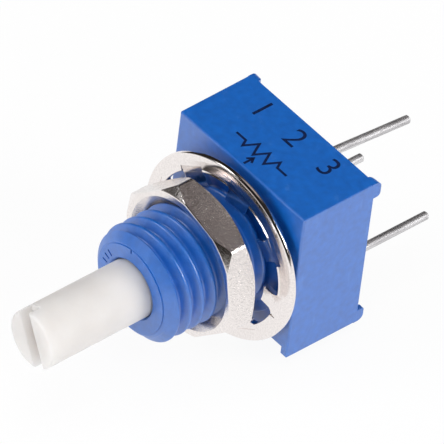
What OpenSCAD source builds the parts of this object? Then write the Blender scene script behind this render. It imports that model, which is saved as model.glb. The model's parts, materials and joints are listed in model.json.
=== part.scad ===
// Panel mount potentiometer, 9.5 mm square, sealed, single turn.
// +Z is up, the shaft points along -Y and the terminals along +Y.
// The origin is on the shaft axis, in the plane of the mounting face that bears on the panel.
// Each part is drawn in a dial frame, seen from the front of the panel: X to the right, Y up and
// Z towards the viewer. on_axis() stands the dial frame up in the part's own frame.

/* [Body] */
// Width and overall height of the square body
body_w = 9.53; // [9.4:0.01:11.5]
// Depth of the body, front face to rear face
body_depth = 4.58; // [4.5:0.01:6]
// Height of the two rails along the bottom edges
rail_h = 0.45; // [0.2:0.01:0.6]
// Width of each bottom rail
rail_w = 0.47; // [0.3:0.01:1]
// Thickness of the side, top and bottom walls
wall = 0.46; // [0.35:0.01:0.6]
// Thickness of the wall behind the bushing, boss not counted
front_wall = 0.85; // [0.6:0.01:1.1]
// Width of each rear corner foot
foot_w = 0.6; // [0.3:0.01:1]
// Height of each rear corner foot
foot_h = 1; // [0.4:0.01:2]
// How far the feet stand out behind the rear face
foot_depth = 0.5; // [0.2:0.01:1]
// Radius on the corners of each foot
foot_r = 0.25; // [0.1:0.01:0.28]

/* [Bushing] */
// Diameter over the thread of the bushing
bushing_d = 6.25; // [5.8:0.01:7.5]
// Length of the bushing in front of the mounting face
bushing_len = 6.35; // [5:0.01:9]
// Depth below the thread's crest of the flat ring at the front
bushing_lead = 0.615; // [0.3:0.005:0.8]
// Length of the taper from that ring to the thread
bushing_taper = 0.5; // [0.2:0.01:0.8]
// Width of the raised mounting face around the bushing
boss_w = 0.875; // [0.5:0.005:1.1]
// Height of the mounting face above the body
boss_h = 0.3; // [0.1:0.01:0.5]
// Chamfer of the bore's mouth
mouth_chamfer = 0.08; // [0.04:0.01:0.1]

/* [Shaft] */
// Diameter of the shaft
shaft_d = 3.175; // [2.6:0.005:3.9]
// Length of the shaft in front of the mounting face
shaft_len = 12.7; // [9.5:0.01:22]
// Chamfer around the shaft's end
shaft_chamfer = 0.12; // [0.05:0.01:0.3]
// Width of the screwdriver slot
slot_w = 0.75; // [0.4:0.01:1]
// Depth of the screwdriver slot
slot_depth = 0.76; // [0.4:0.01:1.2]
// Angle of the slot and wiper from the middle of the travel, anticlockwise
shaft_angle = 28.8; // [-149:0.1:149]
// Thickness of the rotor flange inside the body
flange_t = 0.9; // [0.6:0.01:1]
// How far the stop lug stands out of the flange
lug_h = 0.7; // [0.4:0.01:0.9]
// Angle taken up by the stop lug
lug_angle = 29.5; // [15:0.5:35]
// Angle taken up by the fixed stop in the body
stop_angle = 29.5; // [15:0.5:35]
// Diameter of the posts that hold the wiper
post_d = 0.6; // [0.4:0.01:0.8]
// Distance from the shaft axis to each post, sideways
post_x = 1.5; // [1.2:0.01:1.7]

/* [Shaft seal] */
// Section diameter of the O-ring
ring_section = 0.4; // [0.3:0.01:0.5]
// Width of its groove in the shaft
groove_w = 0.56; // [0.52:0.01:0.7]
// Distance of the groove behind the bushing's front
groove_back = 0.14; // [0.1:0.01:1]

/* [Element] */
// Thickness of the ceramic substrate
substrate_t = 0.64; // [0.5:0.01:0.7]
// Thickness of the printed films
film_t = 0.05; // [0.03:0.01:0.08]
// Width of the resistive track
track_w = 0.7; // [0.5:0.01:0.72]
// Gap between the track and the wall around it
track_margin = 0.15; // [0.1:0.01:0.2]
// Half the angle that each end pad covers
pad_angle = 9; // [7:0.5:14]
// Width of the pad and of the solder around each terminal's root
pad_margin = 0.12; // [0.08:0.01:0.12]
// Inner radius of the collector ring
collector_in = 0.85; // [0.5:0.01:1]
// Outer radius of the collector ring
collector_out = 1.75; // [1.5:0.01:1.9]
// Width of the collector's lead to the centre terminal
lead_w = 0.6; // [0.3:0.01:0.8]

/* [Wiper] */
// Thickness of the contact spring
wiper_t = 0.1; // [0.06:0.01:0.12]
// Room for the spring between the rotor and the films
wiper_room = 0.9; // [0.7:0.01:1]
// Radius of the spring's round plate
plate_r = 2.4; // [2.2:0.01:2.6]
// Width of each contact finger
finger_w = 0.14; // [0.1:0.01:0.16]
// Distance from one finger to the next
finger_pitch = 0.21; // [0.2:0.01:0.22]
// Length that each finger covers, root to contact
finger_len = 1.2; // [1:0.01:1.3]
// Diameter of the rounded contact at a finger's end
contact_d = 0.16; // [0.1:0.01:0.2]

/* [Terminals] */
// Diameter of the round terminals
pin_d = 0.46; // [0.38:0.01:0.48]
// How much thicker their buried roots are, all round
root_step = 0.05; // [0.02:0.01:0.06]
// Spacing of the terminals, sideways and up or down from the shaft axis
pin_pitch = 2.54; // [2.4:0.01:2.6]
// Length of the terminals behind the rear face
pin_len = 6.35; // [3:0.01:12]
// Sideways lean of the bent centre terminal
centre_lean = 3.2; // [-4:0.1:4]
// Droop of the bent centre terminal
centre_droop = 1.8; // [-4:0.1:4]
// Sideways lean of the left terminal
left_lean = 0.7; // [-2:0.1:2]
// Droop of the right terminal
right_droop = 0.6; // [-2:0.1:2]
// Height of the solder joint on the substrate
solder_h = 0.25; // [0.15:0.01:0.35]
// Depth of potting over the end of each root
root_cover = 0.03; // [0.02:0.01:0.1]
// Depth of the potting below the rear face
seal_recess = 0.2; // [0.05:0.01:0.3]

/* [Nut] */
// Thickness of the nut's wall at the middle of a flat
nut_wall = 0.7; // [0.5:0.01:1]
// Thickness of the nut
nut_t = 1.75; // [1.4:0.01:2.2]
// Clear gap between the loose washer and the back of the nut
nut_play = 0.34; // [0.1:0.01:1]
// Direction of one flat, anticlockwise from the right
nut_angle = 14; // [0:1:59]
// Slope of the corner chamfers
nut_chamfer = 30; // [15:1:35]
// Depth of the countersink at each end of the thread
countersink = 0.25; // [0.1:0.01:0.4]

/* [Lock washer] */
// Width of the washer's plain ring
ring_w = 0.92; // [0.6:0.01:1.3]
// Length of the teeth inside the ring
tooth_len = 0.9; // [0.6:0.01:1]
// Thickness of the washer's sheet
washer_t = 0.32; // [0.25:0.01:0.45]
// Number of internal teeth
teeth = 8; // [6:1:10]
// Width of each tooth
tooth_w = 1.3; // [0.8:0.01:1.4]
// Twist of each tooth
tooth_twist = 10; // [4:0.5:14]
// Direction of the first tooth, anticlockwise from the right
tooth_angle = 33.5; // [0:0.5:45]
// Lean of the loose washer about the vertical
washer_lean = 4.3; // [0:0.1:6]
// Lean of the loose washer about the horizontal
washer_tip = 1; // [0:0.1:3]
// How far the loose washer hangs to the right of the axis
washer_right = 0.1; // [0:0.01:0.2]
// How far the loose washer hangs below the axis
washer_drop = 0.17; // [0:0.01:0.2]

/* [Fits] */
// Radial clearance of the shaft in the bushing
shaft_clearance = 0.04; // [0.02:0.01:0.08]
// Radial clearance of the nut on the bushing
nut_clearance = 0.05; // [0.02:0.01:0.08]
// Gap between the washer's teeth and the bushing where it hangs
tooth_clearance = 0.03; // [0.02:0.01:0.1]
// Gap between the washer's teeth and the mounting face where it leans
washer_seat = 0.012; // [0.01:0.001:0.1]
// End play of the rotor behind the front wall
end_play = 0.05; // [0.03:0.01:0.1]
// Clearance around the rotor's lug and the O-ring's bore
rotor_clearance = 0.12; // [0.08:0.01:0.2]
// Clearance around the substrate in its pocket
substrate_clearance = 0.05; // [0.02:0.01:0.1]
// Gap between the contacts and the films
contact_gap = 0.02; // [0.01:0.01:0.04]
// Gap between the O-ring and the bushing's bore
ring_clearance = 0.02; // [0.01:0.01:0.04]

/* [Hidden] */
$fn = 96;
eps = 0.01;

half = body_w / 2;
floor_y = -half + rail_h;
shaft_r = shaft_d / 2;
bore_r = shaft_r + shaft_clearance;
thread_r = bushing_d / 2;
pin_r = pin_d / 2;
root_r = pin_r + root_step;
boss_r = thread_r + boss_w;

// Planes across the shaft axis, front to rear
front_z = -boss_h;
wall_z = front_z - front_wall;
rotor_z = wall_z - end_play;
wiper_z = rotor_z - flange_t;
film_z = wiper_z - wiper_room;
substrate_z = film_z - film_t;
solder_z = substrate_z - substrate_t;
rear_z = front_z - body_depth;
seal_z = rear_z + seal_recess;

// The round rotor chamber and the square pocket behind it
chamber_r = -floor_y - wall;
pocket_x = half - wall;
lug_r = chamber_r - rotor_clearance;
flange_r = lug_r - lug_h;
track_out = chamber_r - track_margin;
track_in = track_out - track_w;
contact_r = (track_in + track_out) / 2;
collector_r = (collector_in + collector_out) / 2;

// The end terminals lie down each side, on a circle through both
pin_circle = norm([pin_pitch, pin_pitch]);
pin_angle = atan2(-pin_pitch, pin_pitch);
pad_r = root_r + pad_margin;
pad_end_r = max(track_out, pin_circle + pad_r);
knee_z = seal_z + root_cover;
pin_tip_z = rear_z - pin_len;

// The nut
nut_hole_r = thread_r + nut_clearance;
nut_af = 2 * (nut_hole_r + nut_wall);

// The washer hangs on the thread and leans against the mounting face
tooth_r = thread_r + norm([washer_right, washer_drop]) + tooth_clearance;
ring_r = tooth_r + tooth_len;
washer_r = ring_r + ring_w;
tooth_reach = tooth_w / 2 * sin(tooth_twist) + washer_t / 2 * cos(tooth_twist);
washer_tilt = norm([washer_lean, washer_tip]);
washer_z = washer_seat + tooth_reach + min(boss_r, ring_r) * sin(washer_tilt);
nut_z = washer_z + tooth_reach + ring_r * sin(washer_tilt) + nut_play;

left_at = [-pin_pitch, -pin_pitch];
centre_at = [0, pin_pitch];
right_at = [pin_pitch, -pin_pitch];

// Stands the dial frame up: its Z becomes the front of the part, its Y becomes up
module on_axis() {
    rotate([90, 0, 0]) children();
}

// A cylinder between two planes across the axis
module disc(r, z0, z1) {
    translate([0, 0, min(z0, z1)]) cylinder(r = r, h = abs(z1 - z0));
}

// Part of a ring, as wide as the angle "spread" around the direction "middle"
module sector(r0, r1, z0, z1, middle, spread) {
    rotate([0, 0, middle - spread / 2])
        rotate_extrude(angle = spread)
            translate([r0, min(z0, z1)]) square([r1 - r0, abs(z1 - z0)]);
}

// ---- Housing ----

// A rear corner foot with its four upright edges rounded, corner at the origin
module foot() {
    translate([foot_r, 0, 0]) cube([foot_w - 2 * foot_r, foot_h, foot_depth]);
    translate([0, foot_r, 0]) cube([foot_w, foot_h - 2 * foot_r, foot_depth]);
    for (x = [foot_r, foot_w - foot_r], y = [foot_r, foot_h - foot_r])
        translate([x, y, 0]) cylinder(r = foot_r, h = foot_depth);
}

module body_block() {
    translate([-half, floor_y, rear_z]) cube([body_w, body_w - rail_h, body_depth]);
    for (side = [0, 1]) mirror([side, 0, 0]) {
        translate([half - rail_w, -half, rear_z]) cube([rail_w, rail_h + eps, body_depth]);
        for (up = [0, 1]) mirror([0, up, 0])
            translate([half - foot_w, half - foot_h, rear_z - foot_depth]) foot_block();
    }
}

// The foot reaches into the body, so that the two are one piece
module foot_block() {
    foot();
    translate([foot_r, foot_r, foot_depth - eps])
        cube([foot_w - 2 * foot_r, foot_h - 2 * foot_r, 2 * eps]);
}

module bushing_blank() {
    disc(boss_r, front_z - eps, 0);
    disc(thread_r, -eps, bushing_len - bushing_taper);
    translate([0, 0, bushing_len - bushing_taper])
        cylinder(r1 = thread_r, r2 = thread_r - bushing_lead, h = bushing_taper);
}

module shaft_bore() {
    disc(bore_r, wall_z - eps, bushing_len + eps);
    translate([0, 0, bushing_len - mouth_chamfer])
        cylinder(r1 = bore_r, r2 = bore_r + mouth_chamfer + eps, h = mouth_chamfer + eps);
}

module chamber() {
    disc(chamber_r, substrate_z - eps, wall_z);
    translate([-pocket_x, -chamber_r, rear_z - eps])
        cube([2 * pocket_x, chamber_r + pocket_x, substrate_z - rear_z + eps]);
    // The ledge in front of the substrate is cut back over the two end pads
    for (middle = [pin_angle, 180 - pin_angle])
        sector(chamber_r - 0.2, pad_end_r + substrate_clearance, substrate_z - eps,
            film_z + substrate_clearance, middle, 2 * pad_angle + 3);
}

module housing() {
    color("royalblue") on_axis() {
        difference() {
            union() {
                body_block();
                bushing_blank();
            }
            shaft_bore();
            chamber();
        }
        sector(flange_r + rotor_clearance, chamber_r + eps, wall_z + eps, wiper_z, -90, stop_angle);
    }
}

// ---- Shaft and rotor, one moulding ----

module shaft() {
    groove_z = bushing_len - groove_back - groove_w;
    color("gainsboro") on_axis() rotate([0, 0, shaft_angle]) {
        difference() {
            union() {
                disc(shaft_r, rotor_z - eps, shaft_len - shaft_chamfer);
                translate([0, 0, shaft_len - shaft_chamfer])
                    cylinder(r1 = shaft_r, r2 = shaft_r - shaft_chamfer, h = shaft_chamfer);
            }
            translate([-slot_w / 2, -shaft_d, shaft_len - slot_depth])
                cube([slot_w, 2 * shaft_d, slot_depth + eps]);
            difference() {
                disc(shaft_d, groove_z, groove_z + groove_w);
                disc(groove_floor_r(), groove_z - eps, groove_z + groove_w + eps);
            }
        }
        disc(flange_r, wiper_z, rotor_z);
        sector(flange_r - 0.3, lug_r, wiper_z, rotor_z, 90, lug_angle);
        for (x = [-post_x, post_x])
            translate([x, 0, 0]) disc(post_d / 2, wiper_z - wiper_t, wiper_z + eps);
    }
}

function groove_floor_r() = bore_r - ring_clearance - ring_section;

module o_ring() {
    color("black") on_axis()
        translate([0, 0, bushing_len - groove_back - groove_w / 2])
            rotate_extrude()
                translate([groove_floor_r() + ring_section / 2, 0]) circle(d = ring_section);
}

// ---- Wiper: one stamped spring with fingers for the track and for the collector ----

// A row of bent fingers that slope down to a contact on the films at radius r
module fingers(r) {
    root_z = wiper_z - wiper_t / 2;
    contact_z = film_z + contact_gap + contact_d / 2;
    drop = root_z - contact_z;
    slope = atan2(drop, finger_len);
    for (i = [-1, 0, 1]) translate([-finger_len / 2, r + i * finger_pitch, 0]) {
        translate([0, -finger_w / 2, root_z])
            rotate([0, slope, 0])
                translate([0, 0, -wiper_t / 2]) cube([norm([drop, finger_len]), finger_w, wiper_t]);
        translate([finger_len, finger_w / 2, contact_z])
            rotate([90, 0, 0]) cylinder(d = contact_d, h = finger_w);
    }
}

// The opening in the plate above the fingers at radius r
module finger_window(r) {
    across = 2 * finger_pitch + finger_w + 0.1;
    translate([-finger_len / 2, r - across / 2, wiper_z - wiper_t - eps])
        cube([finger_len + 0.2, across, wiper_t + 2 * eps]);
}

module wiper() {
    arm_w = 0.4;
    arm_end = contact_r + finger_pitch + finger_w / 2;
    color("goldenrod") on_axis() rotate([0, 0, shaft_angle]) {
        difference() {
            disc(plate_r, wiper_z - wiper_t, wiper_z);
            rotate([0, 0, 180]) finger_window(collector_r);
            for (x = [-post_x, post_x])
                translate([x, 0, 0]) disc(post_d / 2, wiper_z - wiper_t - eps, wiper_z + eps);
        }
        translate([-finger_len / 2 - arm_w + 0.1, collector_out, wiper_z - wiper_t])
            cube([arm_w, arm_end - collector_out, wiper_t]);
        fingers(contact_r);
        rotate([0, 0, 180]) fingers(collector_r);
    }
}

// ---- Element: substrate and printed films ----

module substrate() {
    x = pocket_x - substrate_clearance;
    low = -chamber_r + substrate_clearance;
    color("ivory") on_axis() difference() {
        translate([-x, low, solder_z]) cube([2 * x, x - low, substrate_t]);
        for (at = [left_at, centre_at, right_at])
            translate([at[0], at[1], 0]) disc(root_r, solder_z - eps, substrate_z + eps);
    }
}

module resistive_track() {
    color("dimgray") on_axis()
        sector(track_in, track_out, substrate_z, film_z, 90, 180 - 2 * pin_angle - 2 * pad_angle);
}

module end_pad(middle) {
    sector(min(track_in, pin_circle - pad_r), pad_end_r, substrate_z, film_z, middle, 2 * pad_angle);
}

module pad_left() {
    color("silver") on_axis() end_pad(180 - pin_angle);
}

module pad_right() {
    color("silver") on_axis() end_pad(pin_angle);
}

module collector() {
    color("silver") on_axis() {
        difference() {
            disc(collector_out, substrate_z, film_z);
            disc(collector_in, substrate_z - eps, film_z + eps);
        }
        translate([-lead_w / 2, collector_r, substrate_z])
            cube([lead_w, pin_pitch - collector_r, film_t]);
        translate([centre_at[0], centre_at[1], 0]) disc(pad_r, substrate_z, film_z);
    }
}

// ---- Terminals ----

// A terminal at a point, straight through the substrate and leaning from its knee onwards
module terminal(at, lean, droop) {
    length = knee_z - pin_tip_z;
    tip = 0.06;
    translate([at[0], at[1], 0]) {
        disc(root_r, knee_z, substrate_z);
        translate([0, 0, knee_z]) rotate([droop, lean, 0]) mirror([0, 0, 1]) {
            translate([0, 0, -0.1]) cylinder(r = pin_r, h = length - tip + 0.1);
            translate([0, 0, length - tip]) cylinder(r1 = pin_r, r2 = pin_r - tip, h = tip);
        }
    }
}

module left_terminal() {
    terminal(left_at, -left_lean, 0);
}

module centre_terminal() {
    terminal(centre_at, -centre_lean, -centre_droop);
}

module right_terminal() {
    terminal(right_at, 0, -right_droop);
}

module pin_left() {
    color("lightgray") on_axis() left_terminal();
}

module pin_centre() {
    color("lightgray") on_axis() centre_terminal();
}

module pin_right() {
    color("lightgray") on_axis() right_terminal();
}

// The cone of solder around a root on the back of the substrate
module solder_cone(at) {
    translate([at[0], at[1], solder_z - solder_h])
        cylinder(r1 = root_r + 0.03, r2 = pad_r, h = solder_h);
}

module solder_joint(at) {
    color("darkgray") on_axis() difference() {
        solder_cone(at);
        translate([at[0], at[1], 0]) disc(root_r, solder_z - solder_h - eps, solder_z + eps);
    }
}

module solder_left() {
    solder_joint(left_at);
}

module solder_centre() {
    solder_joint(centre_at);
}

module solder_right() {
    solder_joint(right_at);
}

// Potting that fills the pocket around the terminals and closes the back
module back_seal() {
    color("midnightblue") on_axis() difference() {
        translate([-pocket_x, -chamber_r, seal_z])
            cube([2 * pocket_x, chamber_r + pocket_x, solder_z - seal_z]);
        left_terminal();
        centre_terminal();
        right_terminal();
        for (at = [left_at, centre_at, right_at]) solder_cone(at);
    }
}

// ---- Hardware, loose on the bushing ----

// A tooth along X, twisted about its own length, with its end cut to the tooth circle
module tooth() {
    inside = tooth_r - 0.2;
    root = ring_r + 0.15;
    difference() {
        rotate([tooth_twist, 0, 0])
            translate([inside, -tooth_w / 2, -washer_t / 2])
                cube([root - inside, tooth_w, washer_t]);
        cylinder(r = tooth_r, h = 4 * washer_t, center = true);
    }
}

module lock_washer() {
    edge = 0.08;
    h = washer_t / 2;
    color("silver") on_axis()
        translate([washer_right, -washer_drop, washer_z]) rotate([-washer_tip, washer_lean, 0]) {
            rotate_extrude()
                polygon([[ring_r, -h], [washer_r - edge, -h], [washer_r, -h + edge],
                    [washer_r, h - edge], [washer_r - edge, h], [ring_r, h]]);
            for (i = [0 : teeth - 1]) rotate([0, 0, tooth_angle + i * 360 / teeth]) tooth();
        }
}

// The hexagon with a cone cut around both ends
module nut_blank() {
    corner_r = nut_af / sqrt(3);
    rise = (corner_r - nut_af / 2 + eps) * tan(nut_chamfer);
    intersection() {
        rotate([0, 0, nut_angle - 30]) cylinder(r = corner_r, h = nut_t, $fn = 6);
        rotate_extrude()
            polygon([[0, 0], [nut_af / 2, 0], [corner_r + eps, rise],
                [corner_r + eps, nut_t - rise], [nut_af / 2, nut_t], [0, nut_t]]);
    }
}

module hex_nut() {
    color("gainsboro") on_axis() translate([0, 0, nut_z]) difference() {
        nut_blank();
        disc(nut_hole_r, -eps, nut_t + eps);
        translate([0, 0, -eps])
            cylinder(r1 = nut_hole_r + countersink + eps, r2 = nut_hole_r, h = countersink + eps);
        translate([0, 0, nut_t - countersink])
            cylinder(r1 = nut_hole_r, r2 = nut_hole_r + countersink + eps, h = countersink + eps);
    }
}

housing();
shaft();
o_ring();
wiper();
substrate();
resistive_track();
pad_left();
pad_right();
collector();
pin_left();
pin_centre();
pin_right();
solder_left();
solder_centre();
solder_right();
back_seal();
lock_washer();
hex_nut();
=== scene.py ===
# %% [markdown]
# # A small sealed potentiometer with a threaded bushing
# The real part is a square blue moulding with a threaded neck, a white plastic
# shaft that turns inside it, three tinned terminals behind, and a nickel-plated
# lock washer and nut loose on the thread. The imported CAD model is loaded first
# and stays where it is. Everything made below is built around it, in metres.

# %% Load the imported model
import json
import math

import bmesh
import bpy
from mathutils import Matrix, Vector

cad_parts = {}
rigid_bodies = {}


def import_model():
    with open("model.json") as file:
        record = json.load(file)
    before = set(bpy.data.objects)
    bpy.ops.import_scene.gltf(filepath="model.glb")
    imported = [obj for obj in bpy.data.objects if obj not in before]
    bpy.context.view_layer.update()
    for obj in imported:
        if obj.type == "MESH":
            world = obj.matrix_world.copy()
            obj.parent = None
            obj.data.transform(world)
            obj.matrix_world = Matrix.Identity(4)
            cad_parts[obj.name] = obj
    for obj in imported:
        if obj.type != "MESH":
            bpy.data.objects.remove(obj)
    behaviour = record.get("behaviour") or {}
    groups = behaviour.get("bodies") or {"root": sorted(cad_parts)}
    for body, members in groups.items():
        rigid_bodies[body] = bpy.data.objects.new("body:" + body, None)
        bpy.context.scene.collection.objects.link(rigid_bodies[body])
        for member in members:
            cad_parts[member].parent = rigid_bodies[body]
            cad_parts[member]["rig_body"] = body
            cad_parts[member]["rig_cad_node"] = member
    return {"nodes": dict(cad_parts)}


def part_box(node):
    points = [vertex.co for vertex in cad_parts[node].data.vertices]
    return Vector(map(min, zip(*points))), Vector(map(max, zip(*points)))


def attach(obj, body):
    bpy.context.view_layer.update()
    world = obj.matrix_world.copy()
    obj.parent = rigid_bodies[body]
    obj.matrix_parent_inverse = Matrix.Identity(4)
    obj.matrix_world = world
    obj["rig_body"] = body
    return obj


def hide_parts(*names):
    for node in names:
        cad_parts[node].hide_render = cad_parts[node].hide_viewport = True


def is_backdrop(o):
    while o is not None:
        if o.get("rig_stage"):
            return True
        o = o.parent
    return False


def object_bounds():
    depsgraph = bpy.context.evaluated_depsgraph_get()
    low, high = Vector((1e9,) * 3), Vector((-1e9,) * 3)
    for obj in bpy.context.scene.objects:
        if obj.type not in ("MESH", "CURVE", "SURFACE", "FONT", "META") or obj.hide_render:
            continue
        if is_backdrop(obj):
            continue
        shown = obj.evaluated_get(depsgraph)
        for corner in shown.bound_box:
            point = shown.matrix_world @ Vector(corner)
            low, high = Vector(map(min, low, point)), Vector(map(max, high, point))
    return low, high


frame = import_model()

cad_low, cad_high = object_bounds()
mm = 0.001
print("CAD box, mm:", [round(x / mm, 3) for x in (*cad_low, *cad_high)])

# %% [markdown]
# ## Camera
# A long lens from in front, above and to the right, rolled a little, shows the
# thread, the end of the shaft, the top with its print and one side. From half a
# metre away it keeps parallel edges nearly parallel, so the proportions stay easy
# to judge. The camera is placed by azimuth, elevation, roll and the point that it
# looks at.

# %% The camera
def level_axes(azimuth, elevation):
    """Right, up and back directions of a level camera that looks at the part."""
    a, e = math.radians(azimuth), math.radians(elevation)
    back = Vector((math.sin(a) * math.cos(e), -math.cos(a) * math.cos(e), math.sin(e)))
    right = Vector((0, 0, 1)).cross(back).normalized()
    return right, back.cross(right), back


camera_azimuth, camera_elevation = 44.651, 43.668
camera_distance, camera_roll = 518.58 * mm, math.radians(7.382)
focal_length, sensor_width = 849.6, 36
aim = Vector((-0.644, 0.067, 0.524)) * mm
right, up, back = level_axes(camera_azimuth, camera_elevation)
turned_right = right * math.cos(camera_roll) + up * math.sin(camera_roll)
turned_up = up * math.cos(camera_roll) - right * math.sin(camera_roll)

lens = bpy.data.cameras.new("camera")
lens.lens, lens.sensor_width = focal_length, sensor_width
lens.clip_start, lens.clip_end = 0.01, 10
camera = bpy.data.objects.new("camera", lens)
camera.matrix_world = Matrix.LocRotScale(
    aim + back * camera_distance,
    Matrix((turned_right, turned_up, back)).transposed(), None)
bpy.context.scene.collection.objects.link(camera)
bpy.context.scene.camera = camera
bpy.context.scene.view_settings.view_transform = "Standard"
print("camera at", [round(x, 4) for x in camera.location])

# %% [markdown]
# ## Floor, room and lamps
# Polished nickel looks like whatever stands round it, so the surroundings are
# plain and have only two tones: a white floor and a dim room above the horizon.
# Faces that look down or forwards mirror the floor and stay bright, and faces
# that look up mirror the room, which gives the nut its dark flat and keeps the top
# of the body a deep blue. One dim patch of ceiling lifts that flat off black. Two
# small soft boxes leave the bright lines along rounded edges. Three broad lamps
# only fill in light and are not mirrored. The floor is white to the eye and in
# mirrors, but lit by the lamps alone, so that it keeps the part's shadow. The
# eye sees plain white behind the part, and only light and mirrors see the room.

# %% The floor
floor_size, floor_z = 0.6, cad_low.z - 0.02 * mm
paper_white, mirrored_white = 0.95, 0.93
bpy.ops.object.select_all(action="DESELECT")
bpy.ops.mesh.primitive_plane_add(size=floor_size, location=(0, 0, floor_z))
floor = bpy.context.object
floor.name = "floor"
floor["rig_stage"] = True

paper = bpy.data.materials.new("white_paper")
paper.use_nodes = True
nodes, links = paper.node_tree.nodes, paper.node_tree.links
paper_shader = nodes["Principled BSDF"]
paper_shader.inputs["Base Color"].default_value = (paper_white, paper_white, paper_white, 1)
paper_shader.inputs["Roughness"].default_value = 0.9
paper_shader.inputs["Specular IOR Level"].default_value = 0.1
floor.data.materials.append(paper)

glow = nodes.new("ShaderNodeEmission")
glow.inputs["Strength"].default_value = 1
rays = nodes.new("ShaderNodeLightPath")
either = nodes.new("ShaderNodeMath")
either.operation = "MAXIMUM"
share = nodes.new("ShaderNodeMath")
share.operation = "MULTIPLY"
share.inputs[1].default_value = mirrored_white
cover = nodes.new("ShaderNodeMixShader")
links.new(rays.outputs["Is Camera Ray"], either.inputs[0])
links.new(rays.outputs["Is Glossy Ray"], either.inputs[1])
links.new(either.outputs["Value"], share.inputs[0])
links.new(share.outputs["Value"], cover.inputs["Fac"])
links.new(paper_shader.outputs["BSDF"], cover.inputs[1])
links.new(glow.outputs["Emission"], cover.inputs[2])
links.new(cover.outputs["Shader"], nodes["Material Output"].inputs["Surface"])

# %% The room
world = bpy.data.worlds.new("room")
bpy.context.scene.world = world
world.use_nodes = True
nodes, links = world.node_tree.nodes, world.node_tree.links
nodes.clear()
direction = nodes.new("ShaderNodeTexCoord")


def by_direction(toward, stops):
    """A shade that depends on how near a direction is to another one."""
    near = nodes.new("ShaderNodeVectorMath")
    near.operation = "DOT_PRODUCT"
    near.inputs[1].default_value = Vector(toward).normalized()
    links.new(direction.outputs["Generated"], near.inputs[0])
    ramp = nodes.new("ShaderNodeValToRGB")
    for element, (position, colour) in zip(ramp.color_ramp.elements, stops):
        element.position, element.color = position, (*colour, 1)
    links.new(near.outputs["Value"], ramp.inputs["Fac"])
    return ramp.outputs["Color"]


skirting, dim_wall = (0.30, 0.28, 0.27), (0.020, 0.017, 0.015)
patch_toward, patch_light = (-0.08, 0.53, 0.84), (0.43, 0.385, 0.38)
wall = by_direction((0, 0, 1), ((0.00, skirting), (0.10, dim_wall)))
ceiling = by_direction(patch_toward, ((0.955, (0, 0, 0)), (0.985, patch_light)))
both = nodes.new("ShaderNodeMix")
both.data_type, both.blend_type = "RGBA", "ADD"
both.inputs["Factor"].default_value = 1
links.new(wall, both.inputs["A"])
links.new(ceiling, both.inputs["B"])
sky = nodes.new("ShaderNodeBackground")
seen = nodes.new("ShaderNodeBackground")
rays = nodes.new("ShaderNodeLightPath")
blend = nodes.new("ShaderNodeMixShader")
world_out = nodes.new("ShaderNodeOutputWorld")
links.new(both.outputs["Result"], sky.inputs["Color"])
seen.inputs["Color"].default_value = (1, 1, 1, 1)
links.new(rays.outputs["Is Camera Ray"], blend.inputs["Fac"])
links.new(sky.outputs["Background"], blend.inputs[1])
links.new(seen.outputs["Background"], blend.inputs[2])
links.new(blend.outputs["Shader"], world_out.inputs["Surface"])

# %% The lamps
lamp_distance, broad_fill = 0.45, 0.40
left_box, right_box = 0.16, 0.20


def soft_box(name, toward, power, size, mirrored=True):
    """A square soft lamp that faces the part from a direction."""
    data = bpy.data.lights.new(name, "AREA")
    data.shape, data.size, data.energy = "SQUARE", size, power
    lamp = bpy.data.objects.new(name, data)
    lamp.location = Vector(toward).normalized() * lamp_distance
    lamp.rotation_mode = "QUATERNION"
    lamp.rotation_quaternion = lamp.location.to_track_quat("Z", "Y")
    lamp.visible_glossy = mirrored
    bpy.context.scene.collection.objects.link(lamp)
    print(name, [round(x, 3) for x in lamp.location], power, "W")


soft_box("soft_box_left", (-0.50, -0.60, 0.62), 0.40, left_box)
soft_box("soft_box_right", (0.70, 0.52, 0.47), 1.00, right_box)
soft_box("fill_above", (0.0, -0.1, 1.0), 1.10, broad_fill, mirrored=False)
soft_box("fill_front", (-0.25, -1.0, 0.20), 1.30, broad_fill, mirrored=False)
soft_box("fill_side", (1.0, -0.25, 0.12), 0.95, broad_fill, mirrored=False)

# %% [markdown]
# ## Ways of making
# Most of the real pieces are turned, moulded round or screw-cut, so three habits
# make nearly all of them: draw an outline by pulling one point from corner to
# corner, spin it round the shaft axis, or run it along a screw line. Corners are
# rounded in the outline itself, before the spin, as a mould maker would do.

# %% Helpers for edit mode
def clear_selection():
    if bpy.context.mode != "OBJECT":
        bpy.ops.object.mode_set(mode="OBJECT")
    bpy.ops.object.select_all(action="DESELECT")


def take(piece):
    """Makes a piece the only selected and active one."""
    clear_selection()
    piece.select_set(True)
    bpy.context.view_layer.objects.active = piece


def edit(piece):
    take(piece)
    bpy.ops.object.mode_set(mode="EDIT")


def everything():
    """In edit mode, selects the whole mesh."""
    bpy.ops.mesh.select_all(action="SELECT")


def done():
    """Leaves edit mode."""
    bpy.ops.object.mode_set(mode="OBJECT")


def pick(piece, kind, wanted):
    """In edit mode, selects the points, edges or faces that a test accepts."""
    bpy.ops.mesh.select_mode(type=kind)
    bpy.ops.mesh.select_all(action="DESELECT")
    bm = bmesh.from_edit_mesh(piece.data)
    parts = {"VERT": bm.verts, "EDGE": bm.edges, "FACE": bm.faces}[kind]
    found = [part for part in parts if wanted(part)]
    for part in found:
        part.select_set(True)
    bmesh.update_edit_mesh(piece.data)
    return len(found)


def middle(part):
    """The middle of an edge or a face."""
    return sum((v.co for v in part.verts), Vector()) / len(part.verts)


def lengthwise(over):
    """A test for edges that run more than a length along the shaft axis."""
    return lambda e: abs((e.verts[0].co - e.verts[1].co).y) > over


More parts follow.
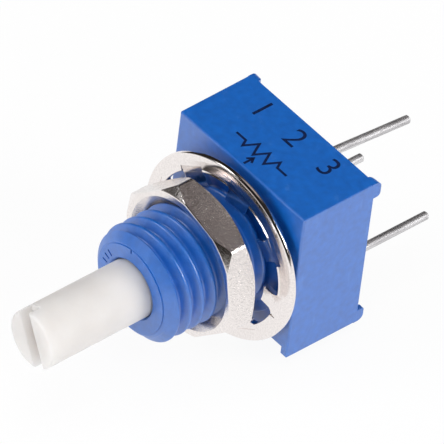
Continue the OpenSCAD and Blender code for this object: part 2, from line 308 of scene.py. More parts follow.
def tidy(piece, merge=0.00001 * mm, angle=35):
    """Merges doubled points, turns faces outwards and smooths all but sharp edges."""
    edit(piece)
    everything()
    if merge:
        bpy.ops.mesh.remove_doubles(threshold=merge)
    bpy.ops.mesh.normals_make_consistent(inside=False)
    done()
    bpy.ops.object.shade_smooth_by_angle(angle=math.radians(angle))
    return piece


def report(piece):
    """Prints a piece's box and how many edges are left open."""
    bm = bmesh.new()
    bm.from_mesh(piece.data)
    loose = sum(len(e.link_faces) != 2 for e in bm.edges)
    volume = bm.calc_volume(signed=True) / mm ** 3
    bm.free()
    low = [round(min(v.co[i] for v in piece.data.vertices) / mm, 2) for i in range(3)]
    high = [round(max(v.co[i] for v in piece.data.vertices) / mm, 2) for i in range(3)]
    print(piece.name, "faces", len(piece.data.polygons), "open edges", loose,
          "volume", round(volume, 2), "mm3 from", low, "to", high)


# %% Outlines and round pieces
def rounded(corners, steps=5):
    """An outline with its corners rounded. Each corner is (across, along, radius)."""
    points = []
    for i, (x, y, radius) in enumerate(corners):
        here = Vector((x, y))
        if radius == 0 or i in (0, len(corners) - 1):
            points.append(here)
            continue
        back_way = (Vector(corners[i - 1][:2]) - here).normalized()
        on_way = (Vector(corners[i + 1][:2]) - here).normalized()
        half = back_way.angle(on_way) / 2
        centre = here + (back_way + on_way).normalized() * (radius / math.sin(half))
        start = here + back_way * (radius / math.tan(half)) - centre
        sweep = start.angle_signed(here + on_way * (radius / math.tan(half)) - centre)
        for k in range(steps + 1):
            turn = -sweep * k / steps
            points.append(centre + Vector((
                start.x * math.cos(turn) - start.y * math.sin(turn),
                start.x * math.sin(turn) + start.y * math.cos(turn))))
    return points


def drawn(name, points, closed=False):
    """Draws an outline in the X-Y plane by pulling one point from corner to corner."""
    clear_selection()
    bpy.ops.mesh.primitive_plane_add(size=mm)
    piece = bpy.context.object
    piece.name = piece.data.name = name
    bpy.ops.object.mode_set(mode="EDIT")
    bpy.ops.mesh.select_mode(type="VERT")
    everything()
    bpy.ops.mesh.merge(type="CENTER")
    bpy.ops.transform.translate(value=(points[0][0], points[0][1], 0))
    for a, b in zip(points, points[1:]):
        bpy.ops.mesh.extrude_vertices_move(
            TRANSFORM_OT_translate={"value": (b[0] - a[0], b[1] - a[1], 0)})
    if closed:
        bpy.ops.mesh.select_all(action="DESELECT")
        bm = bmesh.from_edit_mesh(piece.data)
        for v in bm.verts:
            v.select_set(len(v.link_edges) == 1)
        bmesh.update_edit_mesh(piece.data)
        bpy.ops.mesh.edge_face_add()
    done()
    return piece


def spun(name, points, closed=False, sides=128):
    """Spins an outline (distance from the axis, place along it) round the shaft axis."""
    piece = drawn(name, points, closed)
    edit(piece)
    everything()
    bpy.ops.mesh.spin(steps=sides, angle=2 * math.pi, center=(0, 0, 0), axis=(0, 1, 0),
                      use_auto_merge=True)
    return tidy(piece)


def turned(piece, degrees):
    """Turns a mesh round the shaft axis, anticlockwise as seen from the front."""
    piece.data.transform(Matrix.Rotation(-math.radians(degrees), 4, "Y"))
    return piece


def combined(piece, tool, way):
    """Cuts, joins or keeps the overlap of two closed pieces, and removes the tool."""
    take(piece)
    mod = piece.modifiers.new(way, "BOOLEAN")
    mod.operation, mod.solver, mod.object = way, "MANIFOLD", tool
    bpy.ops.object.modifier_apply(modifier=mod.name)
    bpy.data.objects.remove(tool)
    return piece

# %% [markdown]
# ## The moulded housing
# Body, feet, mounting face, threaded neck, bore and rotor chamber are one
# moulding. It could be one outline pushed and pulled, but a mould is itself cut
# from simple shapes, so the block, the feet, the round mounting face and the
# screw are made on their own, joined, and then hollowed with cutters. The block
# narrows a little towards the front, as it must to leave its mould, and its
# outer edges carry a fine radius that catches the light.

# %% Measures of the housing
body_low, body_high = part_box("housing")
seal_low, seal_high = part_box("back_seal")
half = body_high.x
front_y = 0.30 * mm             # front face of the block
rear_y = seal_high.y + 0.25 * mm  # rear face of the block, behind the potting
floor_up = body_low.z + 0.45 * mm  # underside of the block between the rails
rail_width = 0.47 * mm
tip_y = body_low.y              # front of the neck
foot_y = body_high.y - 0.04 * mm  # rear of the feet
thread_r, pitch = 3.125 * mm, 25.4 / 32 * mm
root_r = thread_r - 0.45 * mm
bore_r, chamber_r = 1.6275 * mm, 3.855 * mm
wall_y, ledge_y = 1.15 * mm, 3.05 * mm
boss_r = thread_r + 0.875 * mm  # edge of the round mounting face
draft = 0.005                   # how much the block narrows to its front
fine = 0.0001 * mm              # how near counts as touching
print("block", round(2 * half / mm, 2), "mm wide,", round((rear_y - front_y) / mm, 2), "deep")


# %% The block with its rails
def on_plane(axis, place, reach=0.002 * mm):
    """A test for parts that lie in a plane across one axis."""
    return lambda part: all(abs(v.co[axis] - place) < reach for v in
                            ([part] if isinstance(part, bmesh.types.BMVert) else part.verts))


def boxed(name, low, high):
    """A rectangular blank between two corners, ready to be shaped."""
    clear_selection()
    low, high = Vector(low), Vector(high)
    bpy.ops.mesh.primitive_cube_add(size=1, location=(low + high) / 2, scale=high - low)
    bpy.ops.object.transform_apply(location=True, rotation=True, scale=True)
    piece = bpy.context.object
    piece.name = piece.data.name = name
    return piece


housing = boxed("housing_moulding", (-half, front_y, floor_up), (half, rear_y, half))
edit(housing)
for side in (-1, 1):
    everything()
    bpy.ops.mesh.bisect(plane_co=(side * (half - rail_width), 0, 0), plane_no=(1, 0, 0),
                        threshold=fine)
pick(housing, "FACE", lambda f: on_plane(2, floor_up)(f)
     and abs(middle(f).x) > half - rail_width)
bpy.ops.mesh.extrude_region_move(
    TRANSFORM_OT_translate={"value": (0, 0, body_low.z - floor_up)})
pick(housing, "VERT", on_plane(1, front_y))
bpy.ops.transform.resize(value=(1 - draft, 1, 1 - draft), center_override=(0, front_y, 0))
done()


def sharp(angle=60):
    """A test for edges where two faces meet at more than an angle."""
    return lambda e: (len(e.link_faces) == 2
                      and e.calc_face_angle(0) > math.radians(angle))


edit(housing)
pick(housing, "EDGE", lambda e: sharp()(e) and on_plane(1, front_y)(e))
bpy.ops.mesh.bevel(offset=0.09 * mm, segments=2)
pick(housing, "EDGE", lambda e: sharp()(e) and abs(middle(e).x) > half - 1.2 * rail_width
     and middle(e).y > front_y + 0.1 * mm)
bpy.ops.mesh.bevel(offset=0.055 * mm, segments=2)
done()
report(housing)


# %% The corner feet
def corner_foot(name, side, up, tall, wide, outer, under):
    """A foot in one corner. Its outer and inner rear edges share one radius."""
    foot = boxed(name, (half - wide, rear_y - 0.2 * mm, half - tall),
                 (half - 0.004 * mm, foot_y, half - 0.004 * mm))
    edit(foot)
    pick(foot, "EDGE", lambda e: middle(e).y > foot_y - 0.01 * mm
         and (abs(middle(e).z - half) < 0.01 * mm or middle(e).x < half - 0.9 * wide))
    bpy.ops.mesh.bevel(offset=outer, segments=5)
    pick(foot, "EDGE", lambda e: middle(e).y > foot_y - 0.01 * mm and sharp()(e)
         and abs(middle(e).z - (half - tall)) < 0.01 * mm)
    bpy.ops.mesh.bevel(offset=under, segments=5)
    everything()
    bpy.ops.transform.resize(value=(side, 1, up), center_override=(0, 0, 0))
    done()
    return tidy(foot)


for side in (-1, 1):
    upper = corner_foot("foot", side, 1, 1.0 * mm, 0.58 * mm, 0.36 * mm, 0.22 * mm)
    combined(housing, upper, "UNION")
    lower = corner_foot("foot", side, -1, 0.78 * mm, 0.42 * mm, 0.34 * mm, 0.12 * mm)
    combined(housing, lower, "UNION")
report(housing)

# %% [markdown]
# ## The thread
# The thread is 1/4-32, so it climbs 25.4 / 32 mm in each turn, right-handed. One
# tooth of it is drawn as an outline with soft crests and roots, which a plastic
# screw has, and the Screw modifier runs it round the axis. The ends are cut
# square and closed, and a turned envelope then trims it to the lead cone in front
# and the round mounting face behind. The front ring of the neck stands a hair
# proud and carries four small sunk marks, as numbered moulds leave them. The nut
# is cut with the same screw, a little larger and just as long, so the two mesh
# wherever it stands.


# %% Screw blank
def screw_blank(name, extra, start, turns, crest_y=-5.855 * mm, steps=96):
    """A closed right-hand screw, its radius larger by extra, from y = start on."""
    crest, root = thread_r + extra, root_r + extra
    flank = (crest - root) * math.tan(math.radians(30))
    top = 0.15 * mm
    wave = [(root, crest_y - pitch / 2, 0),
            (root, crest_y - top / 2 - flank, 0.15 * mm),
            (crest, crest_y - top / 2, 0.12 * mm),
            (crest, crest_y + top / 2, 0.12 * mm),
            (root, crest_y + top / 2 + flank, 0.15 * mm),
            (root, crest_y + pitch / 2, 0)]
    points = rounded(wave, steps=4)
    back = math.ceil((crest_y + pitch / 2 - start) / pitch) * pitch
    points = [(r, y - back) for r, y in points]
    screw = drawn(name, points)
    take(screw)
    run = screw.modifiers.new("thread", "SCREW")
    run.axis, run.angle, run.screw_offset = "Y", 2 * math.pi, pitch
    run.iterations = turns + 2
    run.steps = run.render_steps = steps
    bpy.ops.object.modifier_apply(modifier=run.name)
    edit(screw)
    everything()
    bpy.ops.mesh.remove_doubles(threshold=0.0005 * mm)
    for place, outer in ((start, False), (start + turns * pitch, True)):
        everything()
        bpy.ops.mesh.bisect(plane_co=(0, place, 0), plane_no=(0, 1, 0), threshold=fine,
                            clear_inner=not outer, clear_outer=outer)
        pick(screw, "EDGE", lambda e: len(e.link_faces) == 1
             and on_plane(1, place, 0.001 * mm)(e))
        bpy.ops.mesh.edge_face_add()
    done()
    return tidy(screw)


screw_start, screw_turns = tip_y - 0.1 * mm, 9
neck = screw_blank("neck", 0, screw_start, screw_turns)
report(neck)

# %% Lead cone and mounting face
front_r, taper_y, step = thread_r - 0.615 * mm, tip_y + 0.5 * mm, 0.06 * mm
envelope = spun("envelope", rounded([
    (0, tip_y, 0), (front_r - step, tip_y, 0.03 * mm), (front_r - step, tip_y + step, 0),
    (front_r + step / 2, tip_y + step, 0.02 * mm), (thread_r, taper_y, 0.08 * mm),
    (thread_r, 0.35 * mm, 0), (0, 0.35 * mm, 0)]))
neck = combined(neck, envelope, "INTERSECT")
boss = spun("mounting_face", rounded([
    (0, 0, 0), (boss_r, 0, 0.04 * mm), (boss_r, front_y + 0.1 * mm, 0),
    (0, front_y + 0.1 * mm, 0)]))
report(neck)
for mark_angle, inner, outer in ((147, 1.86, 2.22), (158, 1.86, 2.22), (169, 1.86, 2.22),
                                 (96, 2.22, 2.46)):
    bar = boxed("mould_mark", (inner * mm, tip_y - step, -0.05 * mm),
                (outer * mm, tip_y + step, 0.05 * mm))
    turned(bar, mark_angle)
    combined(neck, bar, "DIFFERENCE")
combined(housing, boss, "UNION")
combined(housing, neck, "UNION")
report(housing)

# %% [markdown]
# ## Hollowing the housing
# The bore, the round rotor chamber and the square pocket for the ceramic element
# are turned or squared cutters. The corners of the pocket are rounded only behind
# the ceramic, where the real pocket shows them around the potting. A wedge left
# standing at the bottom of the chamber stops the rotor's lug at both ends of its
# travel, and the ledge in front of the ceramic is relieved over its two end pads.


# %% Wedges of a ring
def wedge(name, inner, outer, start, end, middle_angle, spread):
    """A closed wedge of a ring between two planes across the axis."""
    piece = drawn(name, [(inner, start), (outer, start), (outer, end), (inner, end)], True)
    edit(piece)
    everything()
    bpy.ops.mesh.edge_face_add()
    everything()
    bpy.ops.mesh.spin(steps=max(4, int(spread / 2)), angle=math.radians(spread),
                      center=(0, 0, 0), axis=(0, 1, 0))
    done()
    turned(piece, middle_angle - spread / 2)
    return tidy(piece)


# %% Bore, chamber and pocket
chamfer = 0.08 * mm
bore = spun("bore", [
    (0, tip_y - 0.1 * mm), (bore_r + chamfer + 0.1 * mm, tip_y - 0.1 * mm),
    (bore_r, tip_y + chamfer), (bore_r, wall_y), (chamber_r, wall_y),
    (chamber_r, ledge_y), (0, ledge_y)])
combined(housing, bore, "DIFFERENCE")
pocket = boxed("pocket", (seal_low.x, ledge_y - 0.01 * mm, seal_low.z),
               (seal_high.x, seal_low.y + 0.05 * mm, seal_high.z))
combined(housing, pocket, "DIFFERENCE")
pocket_radius = 0.3 * mm
pocket = boxed("pocket_mouth", (seal_low.x, seal_low.y, seal_low.z),
               (seal_high.x, foot_y + 0.1 * mm, seal_high.z))
edit(pocket)
pick(pocket, "EDGE", lengthwise(mm))
bpy.ops.mesh.bevel(offset=pocket_radius, segments=6)
done()
combined(housing, pocket, "DIFFERENCE")
for side in (-45, 225):
    pad_relief = wedge("relief", chamber_r - 0.2 * mm, 4.06 * mm, 2.95 * mm, ledge_y + 0.01 * mm,
                       side, 21)
    combined(housing, pad_relief, "DIFFERENCE")
stop = wedge("stop", 3.155 * mm, chamber_r + 0.05 * mm, wall_y - 0.05 * mm, 2.1 * mm, -90, 29.5)
combined(housing, stop, "UNION")
tidy(housing, merge=0, angle=16)
report(housing)

# %% [markdown]
# ## Shaft and rotor
# Shaft, groove for the O-ring, flange, stop lug and two small staking posts are
# one white moulding. All of it but the lug, the posts and the screwdriver slot is
# round, so one outline is spun. The end of the shaft is softly rounded, and the
# slot's mouth flares a little, which leads the blade of a screwdriver in.

# %% The shaft
shaft_low, shaft_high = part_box("shaft")
shaft_r, shaft_turn = 1.5875 * mm, 28.8
groove_front, groove_width, groove_r = tip_y + 0.14 * mm, 0.56 * mm, 1.2075 * mm
rotor_y, wiper_y = 1.20 * mm, 2.10 * mm
flange_r, lug_r = 3.035 * mm, 3.735 * mm
end_y = shaft_low.y
shaft = spun("shaft_moulding", rounded([
    (0, end_y, 0), (shaft_r, end_y, 0.15 * mm), (shaft_r, groove_front, 0),
    (groove_r, groove_front, 0), (groove_r, groove_front + groove_width, 0),
    (shaft_r, groove_front + groove_width, 0), (shaft_r, rotor_y, 0),
    (flange_r, rotor_y, 0.05 * mm), (flange_r, wiper_y, 0.05 * mm), (0, wiper_y, 0)]))
lug = wedge("lug", flange_r - 0.3 * mm, lug_r, rotor_y, wiper_y, 90 + shaft_turn, 29.5)
combined(shaft, lug, "UNION")


def moved(piece, x=0, y=0, z=0):
    piece.data.transform(Matrix.Translation((x, y, z)))
    return piece


for side in (-1, 1):
    post = spun("post", rounded([(0, shaft_high.y, 0), (0.3 * mm, shaft_high.y, 0.04 * mm),
                                 (0.3 * mm, wiper_y - 0.05 * mm, 0),
                                 (0, wiper_y - 0.05 * mm, 0)]), sides=32)
    combined(shaft, turned(moved(post, x=side * 1.5 * mm), shaft_turn), "UNION")


def prism(name, points, low, high):
    """A closed outline in the X-Y plane, pulled up from one height to another."""
    piece = drawn(name, points, True)
    edit(piece)
    everything()
    bpy.ops.mesh.edge_face_add()
    everything()
    bpy.ops.transform.translate(value=(0, 0, low))
    bpy.ops.mesh.extrude_region_move(TRANSFORM_OT_translate={"value": (0, 0, high - low)})
    done()
    return tidy(piece)


slot_half, slot_floor = 0.375 * mm, end_y + 0.76 * mm
slot = prism("slot", rounded([
    (-slot_half - 0.14 * mm, end_y - 0.06 * mm, 0), (-slot_half, end_y + 0.05 * mm, 0.08 * mm),
    (-slot_half, slot_floor, 0.06 * mm), (slot_half, slot_floor, 0.06 * mm),
    (slot_half, end_y + 0.05 * mm, 0.08 * mm), (slot_half + 0.14 * mm, end_y - 0.06 * mm, 0)]),
    -2 * mm, 2 * mm)
combined(shaft, turned(slot, shaft_turn), "DIFFERENCE")
tidy(shaft, merge=0, angle=40)
report(shaft)

# %% [markdown]
# ## The nut
# A plain hexagon, 7.75 mm across its flats, with a cone turned on both ends. A
# wide, deep countersink in front leaves only a narrow rim, and the one behind is
# shallower. The long edges are rounded and the front edges broken before the
# hexagon meets a turned envelope, which leaves the curved edges of a real nut
# where its cones run into its flats. Its thread is cut last.

# %% The nut
nut_low, nut_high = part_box("hex_nut")
across, nut_angle = 7.75 * mm, 14
corner = across / math.sqrt(3)
thickness = nut_high.y - nut_low.y
clear_selection()
bpy.ops.mesh.primitive_cylinder_add(
    vertices=6, radius=corner, depth=thickness, rotation=(math.pi / 2, 0, 0),
    location=(0, (nut_low.y + nut_high.y) / 2, 0))
nut = bpy.context.object
nut.name = nut.data.name = "plated_nut"
bpy.ops.object.transform_apply(location=True, rotation=True, scale=True)
edit(nut)
pick(nut, "EDGE", lengthwise(mm))
bpy.ops.mesh.bevel(offset=0.14 * mm, segments=5)
pick(nut, "EDGE", on_plane(1, nut_low.y))
bpy.ops.mesh.bevel(offset=0.07 * mm, segments=2)
done()
turned(nut, nut_angle)
front_face, rear_face = 4.00 * mm, 3.80 * mm
front_slope, rear_slope = math.tan(math.radians(43)), math.tan(math.radians(36))
reach = corner + 0.2 * mm
cones = spun("cones", rounded([
    (0, nut_low.y, 0), (front_face, nut_low.y, 0.15 * mm),
    (reach, nut_low.y + (reach - front_face) * front_slope, 0),
    (reach, nut_high.y - (reach - rear_face) * rear_slope, 0),
    (rear_face, nut_high.y, 0.06 * mm), (0, nut_high.y, 0)]), sides=192)
combined(nut, cones, "INTERSECT")
minor_r, sink_r, thread_gap = 2.77 * mm, 3.66 * mm, 0.05 * mm
front_sink, rear_sink = 0.9, 0.4  # depth of each countersink for its width
depth, past = sink_r - minor_r, 0.1 * mm
hole = spun("hole", [
    (0, nut_low.y - past), (sink_r + past / front_sink, nut_low.y - past),
    (minor_r, nut_low.y + depth * front_sink), (minor_r, nut_high.y - depth * rear_sink),
    (sink_r + past / rear_sink, nut_high.y + past), (0, nut_high.y + past)])
combined(nut, hole, "DIFFERENCE")
nut_thread = screw_blank("nut_thread", thread_gap, screw_start, screw_turns)
combined(nut, nut_thread, "DIFFERENCE")
tidy(nut, merge=0, angle=25)
report(nut)

# %% [markdown]
# ## The lock washer
# A thin plated ring with eight internal teeth, each twisted so that one edge bites
# the mounting face and the other the nut. One tooth is drawn flat with its two
# fillets, sliced across near its root and twisted a little at each slice, as the
# press does it. The other seven are copies. The front of the ring is crowned a
# little and keeps the burr of the punch along its inner edge, pressed flat where
# a tooth begins. The washer is loose, so it hangs on the thread and leans against
# the mounting face, just where its CAD node is.

# %% The ring
washer_low, washer_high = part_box("lock_washer")
ring_in, ring_out, sheet = 4.252 * mm, 5.172 * mm, 0.32 * mm
burr, burr_width, crown = 0.045 * mm, 0.11 * mm, 0.035 * mm
ring_mid = (ring_in + ring_out) / 2
tooth_in, tooth_twist, tooth_count, first_tooth = 3.352 * mm, 10, 8, 33.5
washer = spun("plated_lock_washer", rounded([
    (ring_mid, -sheet / 2, 0), (ring_in + burr_width, -sheet / 2 - crown, 0.05 * mm),
    (ring_in, -sheet / 2 - crown - burr, 0.02 * mm), (ring_in, sheet / 2, 0.04 * mm),
    (ring_out, sheet / 2, 0.09 * mm), (ring_out, -sheet / 2 + crown, 0.13 * mm),
    (ring_mid + 0.02 * mm, -sheet / 2, 0)], steps=4), closed=True, sides=192)


# %% The teeth
def tooth(angle):
    """One twisted tooth, its flat outline given in millimetres with corner radii."""
    flat = [(4.5, -0.98, 0), (4.15, -0.98, 0.05), (4.19, -0.65, 0.22), (3.26, -0.65, 0),
            (3.26, 0.65, 0), (4.19, 0.65, 0.22), (4.15, 0.98, 0.05), (4.5, 0.98, 0)]
    piece = prism("tooth", rounded([(x * mm, y * mm, r * mm) for x, y, r in flat]),
                  -sheet / 2 + 0.002 * mm, sheet / 2 - 0.002 * mm)
    edge = piece.modifiers.new("edge", "BEVEL")
    edge.width, edge.segments, edge.limit_method = 0.04 * mm, 2, "ANGLE"
    edge.angle_limit = math.radians(50)
    bpy.ops.object.modifier_apply(modifier=edge.name)
    cuts = [4.16, 4.10, 4.04, 3.98, 3.92, 3.86]
    edit(piece)
    for place in cuts:
        everything()
        bpy.ops.mesh.bisect(plane_co=(place * mm, 0, 0), plane_no=(1, 0, 0), threshold=fine)
    for place in cuts:
        pick(piece, "VERT", lambda v: v.co.x < place * mm + fine)
        bpy.ops.transform.rotate(value=math.radians(-tooth_twist / len(cuts)), orient_axis="X",
                                 center_override=(0, 0, 0))
    done()
    piece.data.transform(Matrix.Rotation(math.pi / 2, 4, "X"))
    tidy(piece)
    bite = min((v.co.copy() for v in piece.data.vertices), key=lambda c: c.y)
    print("tooth bites forward at across, mm:", round(bite.z / mm, 2), "by", round(bite.y / mm, 3))
    return turned(piece, angle)


for k in range(tooth_count):
    angle = first_tooth + 360 / tooth_count * k
    flush = boxed("flush", (ring_in - 0.1 * mm, -sheet, -0.8 * mm),
                  (ring_in + 2 * burr_width, -sheet / 2 + 0.001 * mm, 0.8 * mm))
    combined(washer, turned(flush, angle), "DIFFERENCE")
    combined(washer, tooth(angle), "UNION")
eye = spun("eye", [(0, -mm), (tooth_in, -mm), (tooth_in, mm), (0, mm)])
combined(washer, eye, "DIFFERENCE")
tidy(washer, merge=0, angle=35)
sag, lean, tip = (0.1 * mm, -0.17 * mm, 0.59 * mm), math.radians(4.3), math.radians(-1)
quarter = Matrix.Rotation(math.pi / 2, 4, "X")
hang = (quarter @ Matrix.Translation(sag) @ Matrix.Rotation(lean, 4, "Y")
        @ Matrix.Rotation(tip, 4, "X") @ quarter.inverted())
washer.data.transform(hang)
report(washer)
print("washer node", [round(x / mm, 2) for x in (*washer_low, *washer_high)])

# %% [markdown]
# ## The potting
# Epoxy fills the pocket behind the ceramic and holds the terminals. It creeps a
# little up the walls and the pins before it sets, so its back is dished. The block
# gets the pocket's rounded corners, its back is inset in five steps that grow
# shallower, a small collar is turned for each pin, and the pins and solder are
# cut out of it. Edges are kept sharp from 10.5 degrees on, so that the flat
# middle of the back is not shaded by the collars' slopes.


# %% The potting
def copied(node):
    """A merged copy of a CAD node's mesh, to cut with."""
    piece = frame["nodes"][node].copy()
    piece.data = piece.data.copy()
    piece.parent = None
    bpy.context.scene.collection.objects.link(piece)
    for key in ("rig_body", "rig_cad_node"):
        del piece[key]
    piece.name = piece.data.name = "cutter"
    return tidy(piece)


potting = boxed("potting_fill", seal_low, seal_high)
edit(potting)
pick(potting, "EDGE", lengthwise(0.5 * mm))
bpy.ops.mesh.bevel(offset=pocket_radius, segments=6)
for width, depth in ((0.025, -0.021), (0.03, -0.018), (0.035, -0.014), (0.04, -0.010),
                     (0.045, -0.006)):
    pick(potting, "FACE", lambda f: f.normal.y > 0.999 and len(f.verts) > 8)
    bpy.ops.mesh.inset(thickness=width * mm, depth=depth * mm)
done()
pins = ("left", "centre", "right")
collar_outline = ((0, -0.2), (0.56, -0.2), (0.56, -0.078), (0.44, -0.055), (0.37, -0.032),
                  (0.31, -0.002), (0.29, 0.008), (0, 0.008))
for side in pins:
    low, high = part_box("solder_" + side)
    collar = spun("collar", [(r * mm, seal_high.y + y * mm) for r, y in collar_outline],
                  sides=48)
    combined(potting, moved(collar, x=(low.x + high.x) / 2, z=(low.z + high.z) / 2), "UNION")
for side in pins:
    combined(potting, copied("pin_" + side), "DIFFERENCE")
    combined(potting, copied("solder_" + side), "DIFFERENCE")
tidy(potting, merge=0, angle=10.5)
report(potting)

# %% [markdown]
# ## The ink on top
# The top of the body is stamped in dark ink. Here it carries the numbers of the
# three terminals below them, and a plain resistor sign the other way up in a
# second row. The ink has a real, very small thickness, so it is its own thin piece:
# the numbers are text, the sign is a line drawn from point to point and given a
# width, and both become meshes before they are put in place.

# %% The ink
ink_parts = []
digit_size, digit_y, pin_pitch = 1.9 * mm, 3.15 * mm, 2.54 * mm
sign_x, sign_y = -0.1 * mm, 1.65 * mm
top_tilt = math.atan2(draft * half, rear_y - front_y)


def stamped(piece, x, y, degrees):
    """Lays a flat piece of ink on the top of the body, which slopes a little."""
    top = half - draft * half * (rear_y - y) / (rear_y - front_y)
    piece.data.transform(
        Matrix.Translation((x, y, top)) @ Matrix.Rotation(top_tilt, 4, "X")
        @ Matrix.Rotation(math.radians(degrees), 4, "Z"))
    ink_parts.append(piece)


for word, x in (("1", -pin_pitch), ("2", 0), ("3", pin_pitch)):
    clear_selection()
    bpy.ops.object.text_add()
    text = bpy.context.object
    text.data.body, text.data.size = word, digit_size
    text.data.align_x, text.data.extrude = "CENTER", 0.006 * mm
    text.data.offset, text.data.resolution_u = -0.012 * mm, 6
    bpy.ops.object.convert(target="MESH")
    stamped(bpy.context.object, x, digit_y, 0)


def inked_line(name, points, width):
    """A line of ink of one width through points in the X-Y plane."""
    piece = drawn(name, [(x * mm, y * mm) for x, y in points])
    edit(piece)
    everything()
    bpy.ops.mesh.extrude_region_move(TRANSFORM_OT_translate={"value": (0, 0, 0.02 * mm)})
    everything()
    bpy.ops.mesh.normals_make_consistent(inside=False)
    done()
    wall = piece.modifiers.new("width", "SOLIDIFY")
    wall.thickness, wall.offset, wall.use_even_offset = width, 0, True
    bpy.ops.object.modifier_apply(modifier=wall.name)
    return moved(piece, z=-0.012 * mm)


zigzag = [(-1.9, 0), (-1.2, 0)]
zigzag += [(-1.0 + 0.4 * k, 0.38 * (1 if k % 2 else -1)) for k in range(6)]
zigzag += [(1.2, 0), (1.9, 0)]
for name, points, width in (("sign", zigzag, 0.13 * mm),
                            ("arrow", [(0.0, 1.15), (0.0, 0.52)], 0.13 * mm),
                            ("head", [(-0.2, 0.82), (0.0, 0.5), (0.2, 0.82)], 0.12 * mm)):
    stamped(inked_line(name, points, width), sign_x, sign_y, 180)
clear_selection()
for piece in ink_parts:
    piece.select_set(True)
ink = ink_parts[0]
bpy.context.view_layer.objects.active = ink
bpy.ops.object.join()
ink.name = ink.data.name = "ink_marks"
tidy(ink, merge=0.0005 * mm, angle=40)
report(ink)

# %% [markdown]
# ## Finishes
# Every finish is built from noise on Object coordinates, so it is solid and stays
# with its piece from any side. Even values are set on the shader itself. One helper
# starts a finish, one adds a speckle that runs between shades, and one turns a
# noise into fine relief.


# %% Helpers for finishes
def finish(name, colour, roughness, metallic=0.0, specular=0.5):
    made = bpy.data.materials.new(name)
    made.use_nodes = True
    skin = made.node_tree.nodes["Principled BSDF"]
    skin.inputs["Base Color"].default_value = (*colour, 1)
    skin.inputs["Roughness"].default_value = roughness
    skin.inputs["Metallic"].default_value = metallic
    skin.inputs["Specular IOR Level"].default_value = specular
    return made


def add(made, kind, **values):
    """A new node with some of its settings or inputs given by name."""
    node = made.node_tree.nodes.new("ShaderNode" + kind)
    for key, value in values.items():
        label = key.replace("_", " ").title()
        if label in node.inputs:
            node.inputs[label].default_value = value
        else:
            setattr(node, key, value)
    return node


def join(made, source, target):
    made.node_tree.links.new(source, target)


def place_of(made, scale=(1, 1, 1)):
    """Object coordinates, stretched along the axes where a finish has a grain."""
    stretch = add(made, "Mapping")
    stretch.inputs["Scale"].default_value = scale
    join(made, add(made, "TexCoord").outputs["Object"], stretch.inputs["Vector"])
    return stretch.outputs["Vector"]


def noise(made, per_mm, detail=3.0, scale=(1, 1, 1)):
    grain = add(made, "TexNoise", scale=per_mm / mm, detail=detail)
    join(made, place_of(made, scale), grain.inputs["Vector"])
    return grain.outputs["Fac"]


def shades(made, source, *stops):
    """A ramp from a value to shades, each (position, colour)."""
    ramp = add(made, "ValToRGB")
    while len(ramp.color_ramp.elements) < len(stops):
        ramp.color_ramp.elements.new(0.5)
    for element, (position, colour) in zip(ramp.color_ramp.elements, stops):
        element.position = position
        element.color = (*colour, 1)
    join(made, source, ramp.inputs["Fac"])
    return ramp.outputs["Color"]


def relief(made, source, depth, strength=1.0, below=None):
    bump = add(made, "Bump", strength=strength, distance=depth)
    join(made, source, bump.inputs["Height"])
    if below is not None:
        join(made, below, bump.inputs["Normal"])
    return bump.outputs["Normal"]


def skin_of(made):
    return made.node_tree.nodes["Principled BSDF"].inputs


def level(x):
    return (x, x, x)


# %% [markdown]
# The blue plastic is a deep clean blue with faint paler scuffs, drawn out along the
# height of the part, and a slightly uneven gloss. The white one lets light in.

# %% Blue moulded plastic
blue = finish("blue_plastic", (0.001, 0.116, 0.47), 0.31, specular=1.0)
skin_of(blue)["IOR"].default_value = 1.7
clean = shades(blue, noise(blue, 2.5, 5), (0.3, (0.0004, 0.106, 0.46)),
               (0.7, (0.0010, 0.138, 0.57)))
scuffs = shades(blue, noise(blue, 2.2, 6, (1, 1, 0.22)), (0.62, level(0)), (0.72, level(0.22)))
worn = add(blue, "Mix", data_type="RGBA")
join(blue, scuffs, worn.inputs["Factor"])
join(blue, clean, worn.inputs["A"])
worn.inputs["B"].default_value = (0.09, 0.27, 0.72, 1)
join(blue, worn.outputs["Result"], skin_of(blue)["Base Color"])
join(blue, shades(blue, noise(blue, 4, 2), (0.3, level(0.34)), (0.7, level(0.41))),
     skin_of(blue)["Roughness"])
join(blue, relief(blue, noise(blue, 8, 3), 0.004 * mm, 0.25), skin_of(blue)["Normal"])

# %% White moulded plastic
white = finish("white_plastic", (0.82, 0.78, 0.755), 0.55, specular=0.3)
join(white, shades(white, noise(white, 0.6, 4), (0.3, (0.70, 0.675, 0.66)),
                   (0.7, (0.74, 0.72, 0.705))), skin_of(white)["Base Color"])
join(white, shades(white, noise(white, 4, 3), (0.3, level(0.50)), (0.7, level(0.65))),
     skin_of(white)["Roughness"])
join(white, relief(white, noise(white, 7, 3), 0.004 * mm, 0.3), skin_of(white)["Normal"])
skin_of(white)["Subsurface Weight"].default_value = 0.8
skin_of(white)["Subsurface Scale"].default_value = 2.0 * mm
skin_of(white)["Subsurface Radius"].default_value = (1.0, 0.95, 0.9)

# %% Nickel plate
def plated(name, smooth, rough, grain_depth, strength):
    """Nickel with a faint cloudiness and a sandy grain of a given depth."""
    made = finish(name, (0.88, 0.83, 0.81), (smooth + rough) / 2, metallic=1.0)
    join(made, shades(made, noise(made, 13, 2), (0.35, (0.83, 0.78, 0.76)),
                      (0.65, (0.92, 0.87, 0.85))), skin_of(made)["Base Color"])
    join(made, shades(made, noise(made, 6, 4), (0.3, level(smooth)), (0.7, level(rough))),
         skin_of(made)["Roughness"])
    join(made, relief(made, noise(made, 11, 3), grain_depth, strength),
         skin_of(made)["Normal"])
    return made


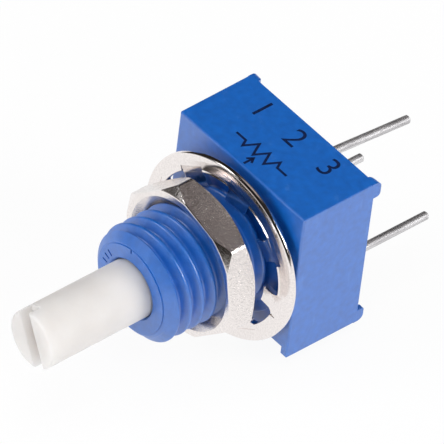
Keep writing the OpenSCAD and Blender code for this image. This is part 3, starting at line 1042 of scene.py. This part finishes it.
nickel = plated("nickel_plate", 0.13, 0.22, 0.040 * mm, 0.95)
turned_nickel = plated("turned_nickel_plate", 0.18, 0.26, 0.012 * mm, 0.6)
bright_nickel = plated("bright_nickel_plate", 0.08, 0.20, 0.006 * mm, 0.35)

# %% Tinned wire, drawn lengthwise
tinned = finish("tinned_wire", (0.76, 0.75, 0.76), 0.62, metallic=0.95)
join(tinned, shades(tinned, noise(tinned, 5, 5, (1, 0.12, 1)), (0.35, (0.56, 0.55, 0.56)),
                    (0.62, (0.82, 0.81, 0.82))), skin_of(tinned)["Base Color"])
join(tinned, relief(tinned, noise(tinned, 9, 3, (1, 0.15, 1)), 0.008 * mm, 0.3),
     skin_of(tinned)["Normal"])


# %% The hidden finishes
def speckled(name, dark, light, roughness, metallic, per_mm, depth):
    made = finish(name, light, roughness, metallic)
    join(made, shades(made, noise(made, per_mm, 4), (0.35, dark), (0.65, light)),
         skin_of(made)["Base Color"])
    join(made, relief(made, noise(made, 2 * per_mm, 3), depth, 0.4), skin_of(made)["Normal"])
    return made


rubber = speckled("black_rubber", level(0.012), level(0.022), 0.55, 0, 6, 0.004 * mm)
spring_metal = speckled("spring_metal", (0.60, 0.42, 0.20), (0.75, 0.55, 0.30), 0.28, 1, 4,
                        0.003 * mm)
ceramic = speckled("alumina", (0.76, 0.74, 0.69), (0.84, 0.83, 0.79), 0.6, 0, 5, 0.004 * mm)
carbon = speckled("resistive_film", level(0.03), level(0.06), 0.5, 0, 9, 0.003 * mm)
silver = speckled("silver_film", (0.62, 0.61, 0.58), (0.78, 0.77, 0.75), 0.4, 1, 8, 0.003 * mm)
solder = speckled("solder_alloy", (0.45, 0.45, 0.45), (0.66, 0.66, 0.66), 0.32, 1, 4, 0.006 * mm)
epoxy = speckled("potting_epoxy", (0.008, 0.015, 0.045), (0.016, 0.028, 0.075), 0.3, 0, 3,
                 0.006 * mm)
ink_finish = speckled("navy_ink", (0.002, 0.006, 0.03), (0.004, 0.018, 0.09), 0.5, 0, 8,
                      0.003 * mm)

# %% [markdown]
# ## Putting it together
# Each new piece rides on the CAD body it belongs to and stands for its CAD node, which is hidden.
# The nodes that keep their own mesh get a finish in their material slots.

# %% Riding and replacing
pieces = (
    (housing, blue, "case", "housing", "housing"),
    (shaft, white, "rotor", "shaft", "shaft"),
    (nut, nickel, "nut", "hex_nut", "nickel"),
    (washer, bright_nickel, "washer", "lock_washer", "nickel"),
    (potting, epoxy, "case", "back_seal", "potting"),
    (ink, ink_finish, "case", None, "housing"),
)
for piece, made, body, node, slot_name in pieces:
    piece.data.materials.clear()
    piece.data.materials.append(made)
    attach(piece, body)
    if node:
        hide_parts(node)

# %% [markdown]
# The flats of the nut keep the sandy skin of the bar. Its cones, rim and thread
# were turned, so they are finer.

# %% The turned faces of the nut
nut.data.materials.append(turned_nickel)
for face in nut.data.polygons:
    face.material_index = int(abs(face.normal.y) > 0.2)

# %% The nodes that keep their own mesh
kept = {"o_ring": rubber, "wiper": spring_metal, "substrate": ceramic,
        "resistive_track": carbon, "pad_left": silver, "pad_right": silver,
        "collector": silver}
for side in pins:
    kept["pin_" + side], kept["solder_" + side] = tinned, solder
for node, made in kept.items():
    for place in frame["nodes"][node].material_slots:
        place.material = made
print(len(pieces), "new pieces,", len(kept), "CAD nodes kept")

# %% [markdown]
# ## Size
# The CAD model and the visual model are both measured, and their boxes are printed.
# The visual model has to fill the same box as the CAD model.

# %% Measure the visual box
low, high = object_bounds()
print("visual box, mm:", [round(x / mm, 3) for x in (*low, *high)])
